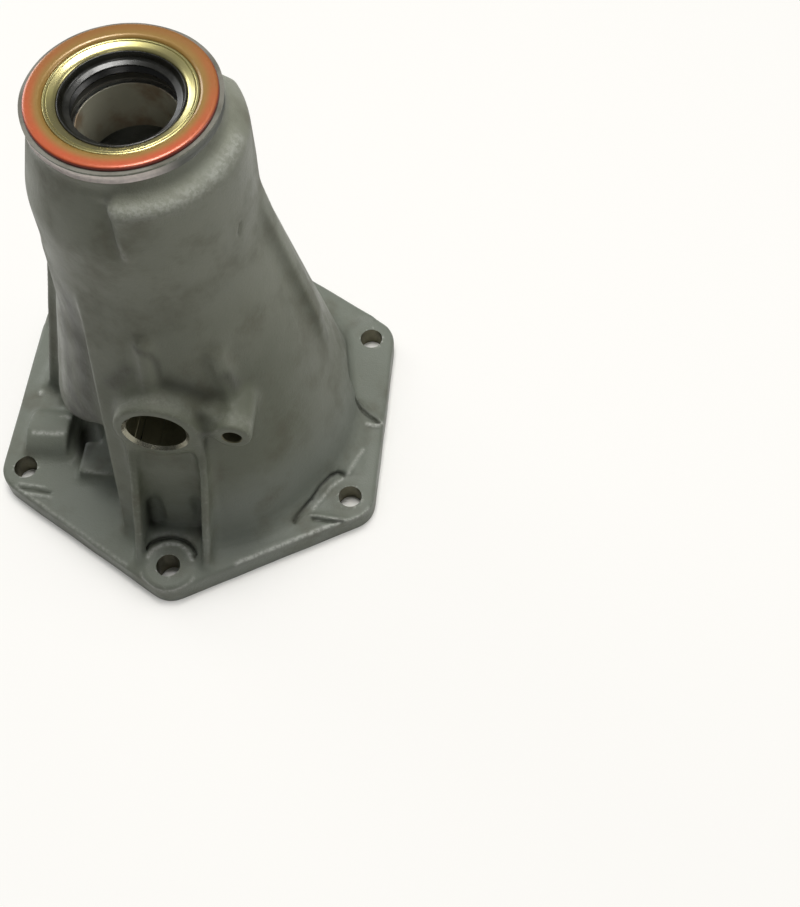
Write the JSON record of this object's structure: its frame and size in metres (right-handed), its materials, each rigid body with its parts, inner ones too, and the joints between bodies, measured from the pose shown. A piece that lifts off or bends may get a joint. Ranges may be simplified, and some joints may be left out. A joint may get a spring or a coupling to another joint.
{
  "type": "transmission extension housing",
  "caption": "Cast extension housing with a hexagonal bolted flange, flared bell, speedometer port, rear bushing and flanged output seal.",
  "frame": {"origin": "centre of the six-bolt circle on the mating face", "axes": "+Z along the output shaft axis from the mating face to the seal, -Y towards the speedometer port side, +X to the right as the port is faced"},
  "size_m": [0.18, 0.2039, 0.2199],
  "materials": {
    "cast_aluminium": "sand-cast aluminium under thin grey paint, machined at the mating face and bores",
    "bushing_steel": "plain steel strip",
    "bushing_bronze": "sintered bronze lining, oiled",
    "sealant_coated_steel": "pressed steel with an orange-red sealant coat",
    "gold_zinc_steel": "pressed steel, gold zinc plated",
    "seal_rubber": "black nitrile rubber, greased",
    "spring_steel": "bright spring wire",
    "ring_rubber": "black moulded rubber"
  },
  "bodies": {
    "root": {"extension_casting": "cast_aluminium", "bushing_back": "bushing_steel", "bushing_lining": "bushing_bronze", "seal_outer_case": "sealant_coated_steel", "seal_inner_case": "gold_zinc_steel", "seal_lip": "seal_rubber", "garter_spring": "spring_steel", "case_seal_ring": "ring_rubber"}
  },
  "joints": []
}
